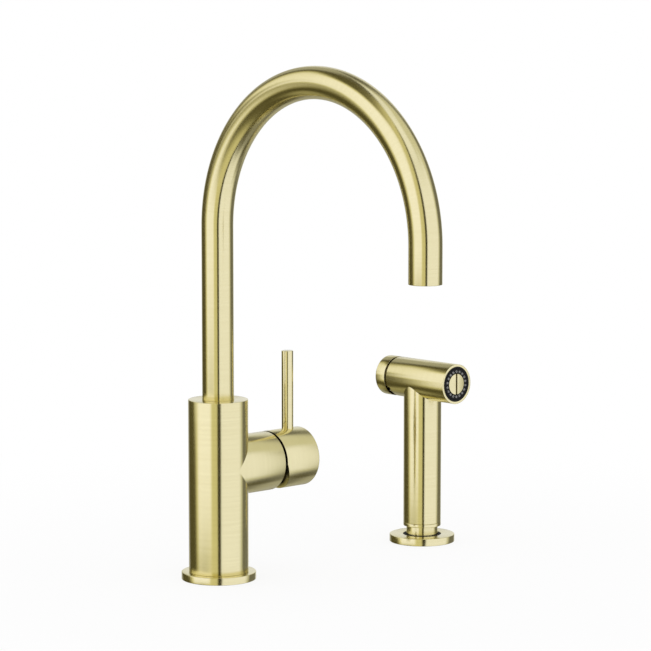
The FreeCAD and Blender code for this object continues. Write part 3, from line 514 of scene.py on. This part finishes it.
def makeSpout():
    v = spoutValues
    clearSelection()
    bpy.ops.mesh.primitive_circle_add(vertices=v["sides"], radius=v["radius"] * mm,
                                      fill_type="NOTHING", location=(0, 0, v["foot"] * mm))
    spout = bpy.context.object
    spout.name = "spoutTube"
    bpy.ops.object.transform_apply(location=True, rotation=False, scale=False)
    bpy.ops.object.mode_set(mode="EDIT")
    bpy.ops.mesh.select_all(action="SELECT")
    bpy.ops.mesh.extrude_region_move(
        TRANSFORM_OT_translate={"value": (0, 0, (v["archHeight"] - v["foot"]) * mm)})
    bpy.ops.mesh.spin(steps=v["archSteps"], angle=-math.pi, axis=(1, 0, 0),
                      center=(0, -v["archRadius"] * mm, v["archHeight"] * mm))
    bpy.ops.mesh.extrude_region_move(
        TRANSFORM_OT_translate={"value": (0, 0, (v["outlet"] - v["archHeight"]) * mm)})
    inner = (v["radius"] - v["wall"]) / v["radius"]
    outletCentre = (0, -2 * v["archRadius"] * mm, v["outlet"] * mm)
    bpy.ops.mesh.extrude_region_move(TRANSFORM_OT_translate={"value": (0, 0, 0)})
    bpy.ops.transform.resize(value=(inner, inner, 1), center_override=outletCentre)
    bpy.ops.mesh.extrude_region_move(TRANSFORM_OT_translate={"value": (0, 0, v["recess"] * mm)})
    bpy.ops.mesh.select_all(action="SELECT")
    bpy.ops.mesh.remove_doubles(threshold=weld)
    bpy.ops.mesh.normals_make_consistent(inside=False)
    endEdit()
    closeHoles(spout)
    roundEdges(spout, v["rounding"])
    bend = v["archRadius"] * mm

    def alongTube(point):
        y, z = point.y + bend, point.z - v["archHeight"] * mm
        if z > 0:
            outward, run = math.hypot(y, z) - bend, math.atan2(z, y) * bend
        else:
            outward, run = abs(y) - bend, z if y > 0 else math.pi * bend - z
        return math.atan2(point.x, outward), math.hypot(point.x, outward), run
    return wrapRound(smooth(spout), alongTube)


finishPiece(makeSpout(), brushedBrass, "spout", "brushed_brass", "spout_tube")
print("spout made")


# ---- side spray ----
neckValues = {"radius": 13.3, "bottom": 2.1, "top": 13.3, "spigot": 9, "spigotTop": 34,
              "threadRadius": 7, "threadDepth": 8, "threadPitch": 1, "threadRise": 0.45}


def makeNeck():
    v = neckValues
    profile = [(v["spigot"], v["spigotTop"]), (v["spigot"], v["top"]), (v["radius"], v["top"]),
               (v["radius"], v["bottom"])]
    low = v["bottom"]
    for turn in range(int(v["threadDepth"] / v["threadPitch"])):
        start = low + turn * v["threadPitch"]
        profile.append((v["threadRadius"] + v["threadRise"], start))
        profile.append((v["threadRadius"], start + v["threadPitch"] / 2))
    profile.append((v["threadRadius"], low + v["threadDepth"]))
    neck = closeHoles(turned("sprayNeck", profile, close=False))
    return dressRound(setDown(neck, "Z", sprayAt), "Z", sprayAt, angle=25)


finishPiece(makeNeck(), brushedBrass, "neck", "brushed_brass", "spray_neck")

endRingValues = {"radius": 16, "bottom": 13.6, "shoulder": 16.38, "inner": 9.1, "spigot": 14.35,
                 "spigotTop": 28, "edge": 0.35}


def makeEndRing():
    v = endRingValues
    profile = [(v["inner"], v["bottom"]), (v["radius"], v["bottom"]), (v["radius"], v["shoulder"]),
               (v["spigot"], v["shoulder"]), (v["spigot"], v["spigotTop"]),
               (v["inner"], v["spigotTop"]), (v["inner"], v["bottom"])]
    endRing = roundEdges(turned("gripEndRing", profile), v["edge"])
    return dressRound(setDown(endRing, "Z", sprayAt), "Z", sprayAt)


finishPiece(makeEndRing(), brushedBrass, "handset", "brushed_brass", "grip_end_ring")

gripValues = {"radius": 16, "bore": 14.4, "boreTop": 28.5, "bottom": 16.5, "top": 137, "edge": 0.2}
headValues = {"radius": 16.8, "height": 139.3, "front": -40.5, "rear": 27.6, "mouth": 14.8,
              "bore": 15.3, "lip": 2, "edge": 0.3, "notchHalfWidth": 17, "notchDepth": 2.5,
              "notchDrop": 8, "darkStart": -37.5, "darkRadius": 15.5}
headAt = (sprayX, 0, headValues["height"])


def makeGrip():
    v = gripValues
    profile = [(v["bore"], v["boreTop"]), (v["bore"], v["bottom"]), (v["radius"], v["bottom"]),
               (v["radius"], v["top"])]
    grip = roundEdges(closeHoles(turned("sprayGrip", profile, close=False)), v["edge"])
    return dressRound(setDown(grip, "Z", sprayAt), "Z", sprayAt)


def makeHead():
    v = headValues
    lip = v["front"] + v["lip"]
    profile = [(v["mouth"], v["front"]), (v["radius"], v["front"]), (v["radius"], v["rear"]),
               (v["bore"], v["rear"]), (v["bore"], lip), (v["mouth"], lip),
               (v["mouth"], v["front"])]
    head = setDown(roundEdges(turned("sprayHead", profile), v["edge"]), "Y", headAt)
    clearSelection()
    bpy.ops.mesh.primitive_cube_add(size=1)
    notch = bpy.context.object
    bpy.ops.transform.resize(value=(2 * v["notchHalfWidth"] * mm, 2 * v["notchDepth"] * mm,
                                    2 * v["radius"] * mm), center_override=(0, 0, 0))
    notch.location = (sprayX * mm, v["rear"] * mm,
                      (v["height"] - v["notchDrop"] - v["radius"]) * mm)
    bpy.ops.object.transform_apply(location=True, rotation=True, scale=True)
    applyModifier(head, "BOOLEAN", operation="DIFFERENCE", object=notch)
    bpy.data.objects.remove(notch)

    # painted shade inside the head's bore, behind the spray face
    def inPaintedShade(point):
        reach = math.hypot(point.x - sprayX, point.z - v["height"])
        return point.y > v["darkStart"] and reach < v["darkRadius"]
    return dressRound(paintGapShade(head, inPaintedShade), "Y", headAt)


handsetShell = joinPieces([makeGrip(), makeHead()], "handsetShell")
finishPiece(handsetShell, brushedBrass, "handset", "brushed_brass", "handset_shell")

capValues = {"radius": 16.8, "front": 29.9, "end": 40.7, "inner": 14.9, "floor": 38.5,
             "centre": 0.4, "rounding": 0.8, "edge": 0.2, "tongueHalfWidth": 6.2,
             "tongueFront": 25, "tongueRoot": 38.8, "tongueLow": 127.3, "tongueHigh": 143.8,
             "tongueEdge": 0.3, "darkFront": 30.15, "darkHeight": 132.3, "halfDark": 0.5}


def makeCap():
    v = capValues
    profile = [(v["centre"], v["end"])] + softCorner(v["radius"], v["end"], v["rounding"])
    profile += [(v["radius"], v["front"]), (v["inner"], v["front"]), (v["inner"], v["floor"]),
                (v["centre"], v["floor"])]
    cap = roundEdges(closeHoles(turned("rearCap", profile, close=False)), v["edge"])
    dressRound(setDown(cap, "Y", headAt), "Y", headAt)
    clearSelection()
    bpy.ops.mesh.primitive_cube_add(size=1)
    tongue = bpy.context.object
    tongue.name = "capTongue"
    tongue.scale = (2 * v["tongueHalfWidth"] * mm, (v["tongueRoot"] - v["tongueFront"]) * mm,
                    (v["tongueHigh"] - v["tongueLow"]) * mm)
    tongue.location = (sprayX * mm, (v["tongueRoot"] + v["tongueFront"]) / 2 * mm,
                       (v["tongueHigh"] + v["tongueLow"]) / 2 * mm)
    bpy.ops.object.transform_apply(location=True, rotation=True, scale=True)
    dressRound(roundEdges(tongue, v["tongueEdge"], segments=2), "Y", headAt)

    # painted shade on the front face in the groove to the head, half as dark towards the top
    def shade(point):
        if point.y > v["darkFront"]:
            return 0
        return v["halfDark"] if point.z > v["darkHeight"] else 1
    paintGapShade(cap, shade)
    return joinPieces([cap, tongue], "rearCap")


finishPiece(makeCap(), brushedBrass, "rocker_cap", "brushed_brass", "rear_cap")

faceValues = {"rim": 15.2, "outer": 14.7, "front": -40.1, "back": -36.2, "rimFront": -38.3,
              "inner": 8.9, "recess": -38.2, "hole": 4.15, "grooveOut": 13.32,
              "grooveIn": 12.88, "grooveFloor": -39.6, "edge": 0.12}


def makeFace():
    v = faceValues
    profile = [(v["hole"], v["back"]), (v["rim"], v["back"]), (v["rim"], v["rimFront"]),
               (v["outer"], v["rimFront"]), (v["outer"], v["front"]),
               (v["grooveOut"], v["front"]), (v["grooveOut"], v["grooveFloor"]),
               (v["grooveIn"], v["grooveFloor"]), (v["grooveIn"], v["front"]),
               (v["inner"], v["front"]), (v["inner"], v["recess"]), (v["hole"], v["recess"]),
               (v["hole"], v["back"])]
    facePlate = roundEdges(turned("sprayFace", profile), v["edge"], segments=2)
    return smooth(setDown(facePlate, "Y", headAt))


finishPiece(makeFace(), rubber, "handset", "black_rubber", "spray_face")

nozzleShape = {"count": 18, "ring": 10.7, "sides": 20,
               "profile": [(1.25, 0.1), (1.05, 0), (0.95, -0.48), (0.7, -0.8), (0.42, -0.8),
                           (0.42, -0.16), (0, -0.16)]}


def makeNozzles():
    v = nozzleShape
    first = smooth(turned("nozzle", v["profile"], sides=v["sides"], close=False), angle=50)
    copies = []
    for index in range(v["count"]):
        pick(first)
        bpy.ops.object.duplicate(linked=False)
        copy = bpy.context.object
        turn = math.radians(90 + 360 * index / v["count"])
        setDown(copy, "Y", (sprayX + v["ring"] * math.cos(turn), faceValues["front"],
                            headValues["height"] + v["ring"] * math.sin(turn)))
        copies.append(copy)
    bpy.data.objects.remove(first)
    return closeHoles(joinPieces(copies, "sprayNozzles"))


finishPiece(makeNozzles(), nozzleRubber, "handset", "black_rubber")

discValues = {"radius": 8.8, "front": -40.6, "seat": -38.25, "shank": 4, "shankEnd": -17,
              "centre": 0.3, "slotWidth": 1.9, "slotDepth": 1.4, "edge": 0.25,
              "darkFront": -40.4, "darkHalfWidth": 1.0, "dark": 0.85}


def makeFaceDisc():
    v = discValues
    profile = [(v["centre"], v["front"]), (v["radius"], v["front"]), (v["radius"], v["seat"]),
               (v["shank"], v["seat"]), (v["shank"], v["shankEnd"]), (v["centre"], v["shankEnd"])]
    disc = roundEdges(closeHoles(turned("faceDisc", profile, close=False)), v["edge"])
    setDown(disc, "Y", headAt)
    clearSelection()
    bpy.ops.mesh.primitive_cube_add(size=1)
    slotTool = bpy.context.object
    slotTool.scale = (v["slotWidth"] * mm, 2 * v["slotDepth"] * mm, 3 * v["radius"] * mm)
    slotTool.location = (sprayX * mm, v["front"] * mm, headValues["height"] * mm)
    bpy.ops.object.transform_apply(location=True, rotation=True, scale=True)
    applyModifier(disc, "BOOLEAN", operation="DIFFERENCE", object=slotTool)
    bpy.data.objects.remove(slotTool)

    # painted shade inside the screw's slot
    def shade(point):
        inSlot = abs(point.x - sprayX) < v["darkHalfWidth"]
        return v["dark"] if inSlot and v["darkFront"] < point.y < v["seat"] else 0
    return dressRound(paintGapShade(disc, shade), "Y", headAt)


finishPiece(makeFaceDisc(), brushedBrass, "handset", "brushed_brass", "face_screw")
print("side spray made")


# ---- studio ----
floorValues = {"size": 40, "place": (0.1, -0.1, -0.0002), "whiteNear": 0.85, "nearRadius": 0.25,
               "farRadius": 0.7, "tone": 0.93}


def makeFloor():
    v = floorValues
    clearSelection()
    bpy.ops.mesh.primitive_plane_add(size=v["size"], location=v["place"])
    floor = bpy.context.object
    floor.name = "floor"
    material = bpy.data.materials.new("floorPaper")
    material.use_nodes = True
    tree = material.node_tree
    link = tree.links.new
    tree.nodes.clear()
    output = addNode(tree, "ShaderNodeOutputMaterial")
    paper = addNode(tree, "ShaderNodeBsdfDiffuse")
    paper.inputs["Color"].default_value = (v["tone"], v["tone"], v["tone"], 1)
    white = addNode(tree, "ShaderNodeEmission")
    clear = addNode(tree, "ShaderNodeBsdfTransparent")
    light = addNode(tree, "ShaderNodeLightPath")
    place = addNode(tree, "ShaderNodeTexCoord")
    reach = addNode(tree, "ShaderNodeVectorMath", operation="LENGTH")
    link(place.outputs["Object"], reach.inputs[0])
    fade = addNode(tree, "ShaderNodeMapRange", interpolation_type="SMOOTHSTEP")
    fade.inputs["From Min"].default_value = v["nearRadius"]
    fade.inputs["From Max"].default_value = v["farRadius"]
    fade.inputs["To Min"].default_value = v["whiteNear"]
    link(reach.outputs["Value"], fade.inputs["Value"])
    share = calculate(tree, "MULTIPLY", light.outputs["Is Camera Ray"], fade.outputs["Result"])
    shown = addNode(tree, "ShaderNodeMixShader")
    link(share, shown.inputs["Fac"])
    link(paper.outputs[0], shown.inputs[1])
    link(white.outputs[0], shown.inputs[2])
    unseen = addNode(tree, "ShaderNodeMixShader")  # the metal shows the studio, not the floor
    link(light.outputs["Is Glossy Ray"], unseen.inputs["Fac"])
    link(shown.outputs[0], unseen.inputs[1])
    link(clear.outputs[0], unseen.inputs[2])
    link(unseen.outputs[0], output.inputs["Surface"])
    floor.data.materials.append(material)


# what the metal shows: soft boxes at fixed angles in degrees, round the object from the side
# that faces the photo and above the horizon; each edge fades between two angles, and a dark
# gap stands between the two large boxes
warmBoxes = {
    "left": {"from": (-110, -77), "to": (-34, -8), "low": (-36, -15), "high": (44, 62),
             "level": 1.08},
    "leftMiddle": {"from": (-117, -98), "to": (-80, -50), "low": (-5, 6), "high": (42, 56),
                   "level": 1.05},
    "leftHigh": {"from": (-146, -124), "to": (-80, -50), "low": (8, 16), "high": (42, 54),
                 "level": 0.95},
    "leftDim": {"from": (-78, -25), "to": (-3, 0), "low": (-88, -62), "high": (95, 99),
                "level": 0.70},
    "leftFloor": {"from": (-156, -146), "to": (-112, -104), "low": (-54, -46), "high": (-38, -30),
                  "level": 0.38}}
whiteBoxes = {
    "right": {"from": (6, 12), "to": (86, 121), "low": (-52, -30), "high": (30, 75),
              "level": 1.0},
    "rightFoot": {"from": (4, 10), "to": (74, 102), "low": (-70, -54), "high": (-20, 0),
                  "level": 0.97},
    "rightHigh": {"from": (6, 12), "to": (98, 126), "low": (4, 30), "high": (95, 99),
                  "level": 0.70, "lean": 0.95},
    "rightTop": {"from": (6, 14), "to": (55, 125), "low": (28, 50), "high": (95, 99),
                 "level": 0.98},
    "overhead": {"from": (-8, 4), "to": (178, 200), "low": (54, 70), "high": (95, 99),
                 "level": 0.92},
    "rightLow": {"from": (60, 80), "to": (170, 180), "low": (-95, -90), "high": (-60, -50),
                 "level": 0.24},
    "back": {"from": (140, 165), "to": (190, 200), "low": (-24, -12), "high": (26, 42),
             "level": 0.85},
    "backEdge": {"from": (-200, -190), "to": (-178, -166), "low": (-24, -12), "high": (26, 42),
                 "level": 0.85},
    "backLow": {"from": (122, 136), "to": (190, 200), "low": (-56, -46), "high": (-24, -14),
                "level": 0.44},
    "rim": {"from": (100, 118), "to": (190, 200), "low": (-50, -40), "high": (40, 55),
            "level": 0.18},
    "backLeft": {"from": (-200, -190), "to": (-156, -142), "low": (-50, -40), "high": (52, 62),
                 "level": 0.42}}
studioValues = {"facing": -40.86, "ambient": 0.09, "plain": 1.0, "leanFrom": 12,
                "gapFrom": (-6, -1), "gapTo": (5, 12), "gapHigh": (15, 62),
                "gapColour": (0.11, 0.095, 0.045),
                "coolness": [(0, (0, 0, 0)), (0.2, (0.2, 0.195, 0.17)), (0.5, (0.5, 0.49, 0.43)),
                             (0.7, (0.69, 0.68, 0.59)), (0.85, (0.81, 0.82, 0.86)),
                             (1, (0.98, 0.985, 1.12))],
                "warmth": [(0, (0, 0, 0)), (0.12, (0.12, 0.105, 0.045)), (0.45, (0.45, 0.42, 0.24)),
                           (0.70, (0.70, 0.66, 0.42)), (0.88, (0.88, 0.85, 0.68)),
                           (0.95, (0.95, 0.93, 0.90)), (1.12, (1.12, 1.12, 1.32))]}


# a soft step on an angle in degrees, rising or falling between two values
def softStep(tree, source, edge, falling=False):
    step = addNode(tree, "ShaderNodeMapRange", interpolation_type="SMOOTHSTEP")
    step.inputs["From Min"].default_value = math.radians(edge[0])
    step.inputs["From Max"].default_value = math.radians(edge[1])
    step.inputs["To Min"].default_value = 1 if falling else 0
    step.inputs["To Max"].default_value = 0 if falling else 1
    tree.links.new(source, step.inputs["Value"])
    return step.outputs["Result"]


# one soft box: how bright it is in each direction
def boxLight(tree, around, above, leaned, box):
    rightAngle = leaned if "lean" in box else around
    shape = softStep(tree, around, box["from"])
    for source, edge, falling in ((rightAngle, "to", True), (above, "low", False),
                                  (above, "high", True)):
        shape = calculate(tree, "MULTIPLY", shape, softStep(tree, source, box[edge], falling))
    return calculate(tree, "MULTIPLY", shape, box["level"])


def brightest(tree, around, above, leaned, boxes, start):
    level = start
    for box in boxes.values():
        level = calculate(tree, "MAXIMUM", boxLight(tree, around, above, leaned, box), level)
    return level


# the tint that a soft box takes at each brightness
def tintRamp(tree, level, tints):
    ramp = addNode(tree, "ShaderNodeValToRGB")
    most = tints[-1][0]
    stops = ramp.color_ramp.elements
    stops.remove(stops[-1])
    for index, (place, colour) in enumerate(tints):
        stop = stops[0] if index == 0 else stops.new(place / most)
        stop.position = place / most
        stop.color = (*colour, 1)
    tree.links.new(calculate(tree, "DIVIDE", level, most), ramp.inputs["Fac"])
    return ramp.outputs["Color"]


def makeWorld():
    v = studioValues
    world = bpy.data.worlds.new("studio")
    bpy.context.scene.world = world
    world.use_nodes = True
    tree = world.node_tree
    link = tree.links.new
    tree.nodes.clear()
    output = addNode(tree, "ShaderNodeOutputWorld")
    direction = addNode(tree, "ShaderNodeTexCoord")
    turn = addNode(tree, "ShaderNodeVectorRotate", rotation_type="Z_AXIS")
    turn.inputs["Angle"].default_value = math.radians(-v["facing"])
    link(direction.outputs["Generated"], turn.inputs["Vector"])
    split = addNode(tree, "ShaderNodeSeparateXYZ")
    link(turn.outputs["Vector"], split.inputs[0])
    towards = calculate(tree, "MULTIPLY", split.outputs["Y"], -1)
    around = calculate(tree, "ARCTAN2", split.outputs["X"], towards)
    above = calculate(tree, "ARCSINE", split.outputs["Z"])
    rise = calculate(tree, "SUBTRACT", above, math.radians(v["leanFrom"]))
    rise = calculate(tree, "MAXIMUM", rise, 0)
    leaned = calculate(tree, "SUBTRACT", around,
                       calculate(tree, "MULTIPLY", rise, whiteBoxes["rightHigh"]["lean"]))
    level = brightest(tree, around, above, leaned, warmBoxes, v["ambient"])
    warmth = tintRamp(tree, level, v["warmth"])
    level = brightest(tree, around, above, leaned, whiteBoxes, 0)
    coolness = tintRamp(tree, level, v["coolness"])
    lighten = addNode(tree, "ShaderNodeMix", data_type="RGBA", blend_type="LIGHTEN")
    lighten.inputs["Factor"].default_value = 1
    link(warmth, lighten.inputs[6])
    link(coolness, lighten.inputs[7])
    gap = calculate(tree, "MULTIPLY", softStep(tree, around, v["gapFrom"]),
                    softStep(tree, around, v["gapTo"], True))
    gap = calculate(tree, "MULTIPLY", gap, softStep(tree, above, v["gapHigh"], True))
    darken = addNode(tree, "ShaderNodeMix", data_type="RGBA", blend_type="MULTIPLY")
    link(gap, darken.inputs["Factor"])
    link(lighten.outputs[2], darken.inputs[6])
    darken.inputs[7].default_value = (*v["gapColour"], 1)
    studio = addNode(tree, "ShaderNodeBackground")
    link(darken.outputs[2], studio.inputs["Color"])
    soft = addNode(tree, "ShaderNodeBackground")
    soft.inputs["Color"].default_value = (1, 1, 1, 1)
    soft.inputs["Strength"].default_value = v["plain"]
    white = addNode(tree, "ShaderNodeBackground")
    white.inputs["Color"].default_value = (1, 1, 1, 1)
    light = addNode(tree, "ShaderNodeLightPath")
    lit = addNode(tree, "ShaderNodeMixShader")
    link(light.outputs["Is Diffuse Ray"], lit.inputs["Fac"])
    link(studio.outputs[0], lit.inputs[1])
    link(soft.outputs[0], lit.inputs[2])
    seen = addNode(tree, "ShaderNodeMixShader")
    link(light.outputs["Is Camera Ray"], seen.inputs["Fac"])
    link(lit.outputs[0], seen.inputs[1])
    link(white.outputs[0], seen.inputs[2])
    link(seen.outputs[0], output.inputs["Surface"])


cameraValues = {"place": (-1.55036, -1.79254, 0.49858), "turn": (82.93, 0, -42.93), "lens": 165.7,
                "sensor": 36}


def makeCamera():
    v = cameraValues
    clearSelection()
    bpy.ops.object.camera_add(location=v["place"], rotation=[math.radians(a) for a in v["turn"]])
    camera = bpy.context.object
    camera.data.lens = v["lens"]
    camera.data.sensor_width = v["sensor"]
    bpy.context.scene.camera = camera


makeFloor()
makeWorld()
makeCamera()
bpy.context.scene.view_settings.view_transform = "Standard"
print("studio made")
